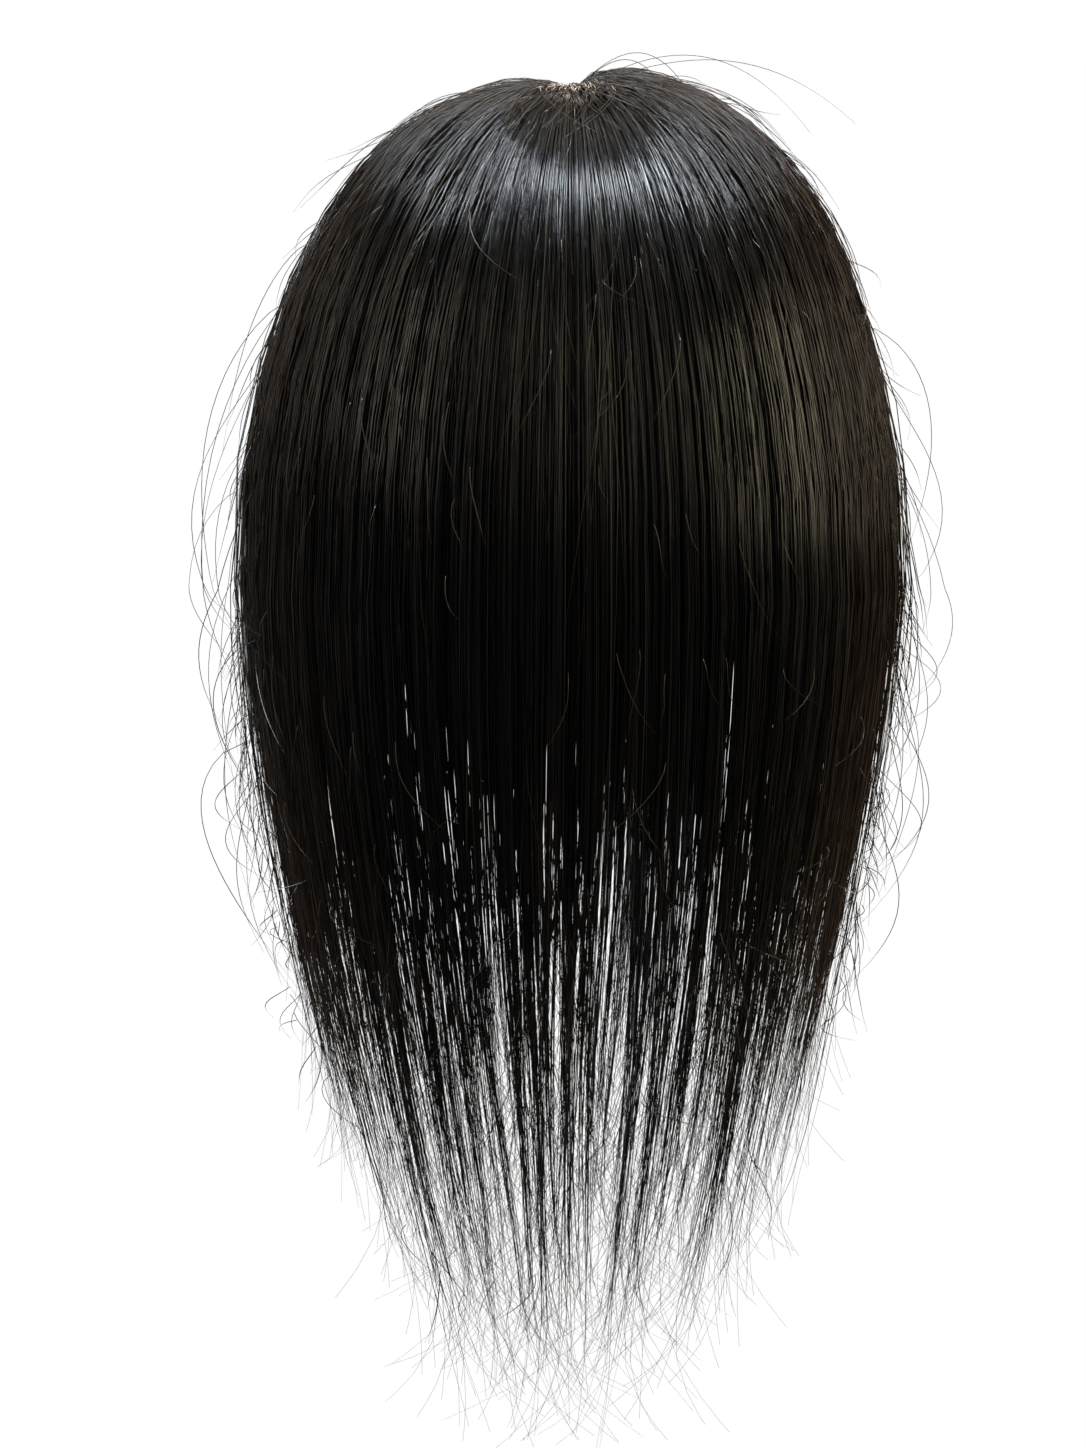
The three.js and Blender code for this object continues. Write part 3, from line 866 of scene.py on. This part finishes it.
def whorlStrands(rng):
    plan = whorlHairs
    count = plan["count"]
    t = np.linspace(0, 1, looseLook["whorlRings"])[None]
    angle = rng.uniform(*plan["angle"], count)[:, None]
    angle = angle + rng.normal(0, plan["swirl"], count)[:, None] * t
    reach = rng.uniform(*plan["start"], count)[:, None]
    reach = reach + rng.uniform(*plan["length"], count)[:, None] * t
    x = reach * np.sin(np.radians(angle))
    y = form["whorlBehind"] + reach * np.cos(np.radians(angle))
    crown = crownPoint(x, y)
    out = crownNormal(crown)
    way = np.arcsin(np.clip(reach / form["halfWidth"], 0, 1)) * 2 / math.pi
    rise = rng.uniform(*plan["rise"], count)[:, None] * np.sin(math.pi * np.clip(1.2 * t, 0, 1))
    at = crown + out * (thickness(angle, way) * smoothStep(-0.3, 0.35, t) + rise)[..., None]
    warmth = rng.uniform(*plan["warmth"], count)
    width = plan["width"] * taper(t, count, rng)
    return strandTubes(at, out, width, rng.uniform(*plan["tone"], count), warmth, 1)


def partingStrands(rng):
    plan = partingHairs
    count = plan["count"]
    t = np.linspace(0, 1, looseLook["partingRings"])[None]
    side = np.where(rng.uniform(0, 1, count) < 0.5, -1, 1)[:, None]
    rootX = -side * rng.uniform(-0.6, 1, count)[:, None] * plan["across"]
    x = rootX + side * rng.uniform(*plan["length"], count)[:, None] * t**1.2
    y = rng.uniform(-form["partingFront"], form["whorlBehind"], count)[:, None]
    y = y + rng.normal(0, plan["slant"], count)[:, None] * t
    crown = crownPoint(x, y)
    out = crownNormal(crown)
    way = np.clip((np.abs(x) - form["partingHalfWidth"]) / form["halfWidth"], 0, 1) * 2 / math.pi
    depth = thickness(side * plan["depthAt"] + 0 * x, way) * smoothStep(0, 0.3, t)
    rise = rng.uniform(*plan["rise"], count)[:, None] * np.sin(math.pi * t)
    at = crown + out * (depth + rise + plan["clear"])[..., None]
    width = plan["width"] * taper(t, count, rng)
    tone = rng.uniform(*plan["tone"], count)
    return strandTubes(at, out, width, tone, rng.uniform(*plan["warmth"], count), 1)


rng = np.random.default_rng(211)
looseBatches = [looseStrands(dict(zip(looseColumns, row)), rng) for row in looseGroups.values()]
looseBatches += [arcStrands(rng), whorlStrands(rng), partingStrands(rng)]
meshFromTubes("loose_hairs", looseBatches, hair)
print("loose hairs laid")

base = {
    "halfWidth": 0.057,
    "front": 0.064,
    "back": 0.052,
    "squareness": 3,
    "rolledEdge": 0.0006,  # how much the edge stands out above and below
    "edgeShare": 0.035,
    "rings": 14,
    "sides": 96,
    "threadGap": 0.0026,
    "threadWidth": 0.0005,
    "threadReach": 0.955,
    "threadRings": 26,
    "threadSamples": 400,
    "threadFewest": 12,  # samples inside the outline, below which a thread is left out
}
clip = {
    "length": 0.034,
    "width": 0.010,
    "thickness": 0.0014,
    "squareness": 4,
    "seat": 0.0006,
    "inset": 0.013,
    "flat": 0.5,
    "roundFrom": 0.93,
    "rings": 10,
    "sides": 72,
}


# A rounded outline about (x, y): squareness 2 is an oval, more is squarer
def roundedOutline(x, y, halfX, back, front, squareness):
    def outline(turn, share):
        c, s = np.cos(turn), np.sin(turn)
        grow = (np.abs(c) ** squareness + np.abs(s) ** squareness) ** (-1 / squareness)
        return x + share * grow * c * halfX, y + share * grow * s * np.where(s > 0, back, front)

    return outline


# A curved plate under the crown: its profile runs from the middle of the top face, round
# the edge and back along the bottom. Each entry is a share of the way out and a depth.
def plateMesh(name, outline, profile, sides, inset, thickness, flatShare, material):
    turn = np.linspace(0, 2 * math.pi, sides, endpoint=False)[None]
    share, level = np.array(profile).T[:, :, None]
    x, y = outline(turn, share)
    top = crownPoint(x, y)
    out = crownNormal(top)
    at = top - out * (inset + level * thickness)[..., None]
    middleX, middleY = outline(0, 0)
    middle = crownPoint(np.array(middleX), np.array(middleY))
    up = crownNormal(middle)
    under = middle - up * (inset + thickness)
    flat = ((level >= 1) & (share <= flatShare + 1e-6)) * np.ones_like(turn)
    at = at + up * (flat * ((under - at) @ up))[..., None]
    rows = len(profile)
    ends = [at[0].mean(0), at[-1].mean(0)]
    corners = np.concatenate([at.reshape(-1, 3), ends])
    faces = []
    for row in range(rows - 1):
        here, below = row * sides, (row + 1) * sides
        for side in range(sides):
            nextSide = (side + 1) % sides
            faces.append((here + side, below + side, below + nextSide, here + nextSide))
    for side in range(sides):
        nextSide = (side + 1) % sides
        faces.append((rows * sides, side, nextSide))
        faces.append((rows * sides + 1, (rows - 1) * sides + nextSide, (rows - 1) * sides + side))
    mesh = bpy.data.meshes.new(name)
    mesh.from_pydata(corners.tolist(), [], faces)
    mesh.shade_smooth()
    mesh.materials.append(material)
    edge = mesh.attributes.new("edge", "FLOAT", "POINT")
    edgeShare = np.concatenate([np.repeat(share[:, 0], sides), [0, 0]])
    edge.data.foreach_set("value", edgeShare.astype(np.float32))
    print(f"{name}: {len(faces)} faces")
    return addPiece(name, mesh)


# A plate whose edge is rounded over, from start outward
def roundOver(rings, start):
    profile = [(lerp(0.04, start, i / rings), 0) for i in range(rings + 1)]
    for turn in np.radians([22.5, 45, 67.5, 90, 112.5, 135, 157.5]):
        profile.append((lerp(start, 1, math.sin(turn)), 0.5 - 0.5 * math.cos(turn)))
    profile += [(lerp(start, 0.04, i / rings), 1) for i in range(rings + 1)]
    return profile


# The base's edge is rolled, so it is a little thicker than the rest
def rolledProfile(rings, start, bulge):
    profile = [(lerp(0.02, start, i / rings), 0) for i in range(rings + 1)]
    for turn in np.radians(np.arange(20, 341, 20)):
        share = lerp(start, 1, math.sin(turn / 2))
        profile.append((share, 0.5 - (0.5 + bulge * math.sin(turn / 2)) * math.cos(turn / 2)))
    profile += [(lerp(start, 0.02, i / rings), 1) for i in range(rings + 1)]
    return profile


netFinish = {
    "thread": (0.050, 0.036, 0.027),
    "gap": (0.012, 0.009, 0.007),
    "threadEdge": (0.08, 0.22),
    "scale": 620,
    "unevenness": 0.15,
    "roughness": 0.75,
    "bump": 0.35,
    "bumpHeight": 0.0002,
}


def netMaterial():
    material, nodes, links, shader = makeMaterial("cap_net")
    place = nodes.new("ShaderNodeTexCoord")
    cells = addNode(nodes, "ShaderNodeTexVoronoi", voronoi_dimensions="2D", feature="DISTANCE_TO_EDGE")
    cells.inputs["Scale"].default_value = netFinish["scale"]
    cells.inputs["Randomness"].default_value = netFinish["unevenness"]
    links.new(place.outputs["Object"], cells.inputs["Vector"])
    ramp = rampNode(nodes, list(zip(netFinish["threadEdge"], (netFinish["thread"], netFinish["gap"]))))
    links.new(cells.outputs["Distance"], ramp.inputs["Fac"])
    links.new(ramp.outputs["Color"], shader.inputs["Base Color"])
    shader.inputs["Roughness"].default_value = netFinish["roughness"]
    bump = addNode(nodes, "ShaderNodeBump", invert=True)
    bump.inputs["Strength"].default_value = netFinish["bump"]
    bump.inputs["Distance"].default_value = netFinish["bumpHeight"]
    links.new(cells.outputs["Distance"], bump.inputs["Height"])
    links.new(bump.outputs["Normal"], shader.inputs["Normal"])
    return material


# Painted steel, worn bright in patches along its edge
clipFinish = {
    "paint": (0.012, 0.010, 0.009),
    "worn": (0.16, 0.14, 0.12),
    "wornFrom": (0.72, 0.80),
    "spread": 0.6,
    "patchiness": 0.5,
    "noiseScale": 900,
    "noiseDetail": 5,
    "roughness": (0.28, 0.5),
    "metallic": 0.8,
}


def clipMaterial():
    finish = clipFinish
    material, nodes, links, shader = makeMaterial("clip_steel")
    place = nodes.new("ShaderNodeTexCoord")
    noise = addNode(nodes, "ShaderNodeTexNoise", Scale=finish["noiseScale"], Detail=finish["noiseDetail"])
    links.new(place.outputs["Object"], noise.inputs["Vector"])
    patches = noise.outputs["Fac"]
    edge = attributeValue(nodes, "edge")
    wear = mathNode(material, "MULTIPLY_ADD", (patches, finish["patchiness"], edge))
    wear = mathNode(material, "MULTIPLY", (wear, finish["spread"]))
    paintedTo, wornFrom = finish["wornFrom"]
    stops = [(0.0, finish["paint"]), (paintedTo, finish["paint"]), (wornFrom, finish["worn"])]
    ramp = rampNode(nodes, stops)
    links.new(wear, ramp.inputs["Fac"])
    links.new(ramp.outputs["Color"], shader.inputs["Base Color"])
    links.new(rangeNode(material, patches, (0, 1), finish["roughness"]), shader.inputs["Roughness"])
    shader.inputs["Metallic"].default_value = finish["metallic"]
    return material


def makeBase():
    outline = roundedOutline(0, 0, base["halfWidth"], base["back"], base["front"], base["squareness"])
    net = netMaterial()
    profile = rolledProfile(base["rings"], 1 - base["edgeShare"], base["rolledEdge"] / form["capThickness"])
    plate = plateMesh(
        "base_net", outline, profile, base["sides"], form["capSeat"], form["capThickness"], 0, net
    )
    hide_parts("base_cap")
    plan = threadLines()
    top = crownPoint(plan[..., 0], plan[..., 1])
    out = crownNormal(top)
    at = top - out * (form["capSeat"] + form["capThickness"] + 0.2 * base["threadWidth"])
    shades = np.full(len(at), 0.5)
    threads = strandTubes(at, out, np.full(at.shape[:2], base["threadWidth"]), shades, shades, 1)
    meshFromTubes("net_threads", [threads], net)


# The net's threads, seen from above: lines that cross both ways inside the base's outline
def threadLines():
    squareness = base["squareness"]
    reach = base["front"] + base["halfWidth"]
    lines = np.arange(-reach, reach, base["threadGap"])[:, None]
    t = np.linspace(-1, 1, base["threadSamples"])[None] * reach
    rows = []
    for turn in (math.radians(45), math.radians(135)):
        x = lines * math.cos(turn) - t * math.sin(turn)
        y = lines * math.sin(turn) + t * math.cos(turn)
        depth = np.where(y > 0, base["back"], base["front"])
        inside = (np.abs(x) / base["halfWidth"]) ** squareness + (np.abs(y) / depth) ** squareness
        inside = inside < base["threadReach"] ** squareness
        for line in range(len(lines)):
            found = np.nonzero(inside[line])[0]
            if len(found) < base["threadFewest"]:
                continue
            pick = np.linspace(found[0], found[-1], base["threadRings"]).round().astype(int)
            rows.append(np.stack([x[line, pick], y[line, pick]], -1))
    return np.array(rows)


def makeClips():
    steel = clipMaterial()
    halfLong, halfWide = clip["length"] / 2, clip["width"] / 2
    places = {
        "front_clip": (0, clip["inset"] - base["front"], halfLong, halfWide),
        "back_clip": (0, base["back"] - clip["inset"], halfLong, halfWide),
        "left_clip": (base["halfWidth"] - clip["inset"], 0, halfWide, halfLong),
        "right_clip": (clip["inset"] - base["halfWidth"], 0, halfWide, halfLong),
    }
    inset = form["capSeat"] + form["capThickness"] + clip["seat"]
    profile = roundOver(clip["rings"], clip["roundFrom"])
    for name, (x, y, halfX, halfY) in places.items():
        outline = roundedOutline(x, y, halfX, halfY, halfY, clip["squareness"])
        plate = plateMesh(
            name + "_plate", outline, profile, clip["sides"], inset, clip["thickness"], clip["flat"], steel,
        )
        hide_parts(name)


makeBase()
makeClips()
print("base and clips made")

stage = {
    "backdrop": (1.0, 1.0, 1.0),
    "surround": (0.095, 0.098, 0.104),
    "floorDrop": 0.60,
    "floorRadius": 0.9,
    "floorSides": 96,
    "floorColour": (0.20, 0.20, 0.20),
    "floorRoughness": 0.9,
    "floorGlow": 0.70,
}


def addWorld():
    world = bpy.data.worlds.new("studio")
    bpy.context.scene.world = world
    world.use_nodes = True
    nodes, links = world.node_tree.nodes, world.node_tree.links
    seen = nodes["Background"]
    seen.inputs["Color"].default_value = (*stage["backdrop"], 1)
    lit = nodes.new("ShaderNodeBackground")
    lit.inputs["Color"].default_value = (*stage["surround"], 1)
    path = nodes.new("ShaderNodeLightPath")
    mix = nodes.new("ShaderNodeMixShader")
    links.new(path.outputs["Is Camera Ray"], mix.inputs[0])
    links.new(lit.outputs[0], mix.inputs[1])
    links.new(seen.outputs[0], mix.inputs[2])
    links.new(mix.outputs[0], nodes["World Output"].inputs["Surface"])


def addFloor():
    turns = np.linspace(0, 2 * math.pi, stage["floorSides"], endpoint=False)
    radius, height = stage["floorRadius"], -stage["floorDrop"]
    ring = [(radius * math.cos(a), radius * math.sin(a), height) for a in turns]
    mesh = bpy.data.meshes.new("floor")
    mesh.from_pydata(ring, [], [range(len(ring))])
    material, _, _, shader = makeMaterial("pale_floor")
    shader.inputs["Base Color"].default_value = (*stage["floorColour"], 1)
    shader.inputs["Roughness"].default_value = stage["floorRoughness"]
    shader.inputs["Emission Color"].default_value = (1, 1, 1, 1)
    shader.inputs["Emission Strength"].default_value = stage["floorGlow"]
    mesh.materials.append(material)
    floor = bpy.data.objects.new("floor", mesh)
    bpy.context.scene.collection.objects.link(floor)
    floor.visible_diffuse = False
    floor.visible_glossy = False


# place, aim, size in metres, watts and colour
lights = {
    "overhead": ((0, 0.10, 0.95), (0, 0.02, -0.05), (1.4, 0.13), 27.5, (0.84, 0.91, 1.0)),
    "topSoft": ((0, -0.40, 0.95), (0, 0, -0.05), (1.2, 0.45), 1.9, (1.0, 0.93, 0.85)),
    "warmSide": ((-1.22, 0.60, 0.36), (0, 0, -0.10), (0.8, 0.7), 11, (1.0, 0.86, 0.60)),
    "softLeft": ((1.1, 0.7, 0.55), (0, 0, -0.05), (0.5, 0.9), 5.5, (1.0, 0.86, 0.72)),
    "coolRim": ((1.0, -0.75, 0.15), (0, 0, -0.16), (0.4, 1.0), 14, (0.90, 0.95, 1.0)),
    "underFill": ((0, -0.60, -0.80), (0, 0, -0.05), (0.5, 0.5), 7, (1.0, 0.97, 0.93)),
    "backRim": ((-0.3, -1.15, 0.60), (0, 0, -0.05), (1.2, 0.5), 14, (1.0, 0.84, 0.70)),
}


def addLights():
    for name, (place, aim, size, watts, colour) in lights.items():
        data = bpy.data.lights.new(name, "AREA")
        data.shape = "RECTANGLE"
        data.size, data.size_y = size
        data.energy = watts
        data.color = colour
        light = bpy.data.objects.new(name, data)
        light.location = place
        light.rotation_euler = (Vector(aim) - Vector(place)).to_track_quat("-Z", "Y").to_euler()
        bpy.context.scene.collection.objects.link(light)


view = {
    "imageSize": (1086, 1448),
    "pixel": 0.00027,  # metres of the object across one pixel of that frame
    "distance": 2.1,
    "elevation": 5,
    "aim": (0.0076, 0, -0.1662),
    "sensor": 36,
}


def addCamera():
    data = bpy.data.cameras.new("camera")
    data.sensor_width = view["sensor"]
    tall = view["imageSize"][1] * view["pixel"]
    data.lens = view["sensor"] * view["distance"] / tall
    data.dof.use_dof = False
    camera = bpy.data.objects.new("camera", data)
    rise = math.radians(view["elevation"])
    back = Vector((0, math.cos(rise), math.sin(rise)))
    camera.location = Vector(view["aim"]) + back * view["distance"]
    camera.rotation_euler = (-back).to_track_quat("-Z", "Y").to_euler()
    bpy.context.scene.collection.objects.link(camera)
    bpy.context.scene.camera = camera


addWorld()
addFloor()
addLights()
addCamera()
bpy.context.scene.view_settings.view_transform = "Standard"
print("studio set")
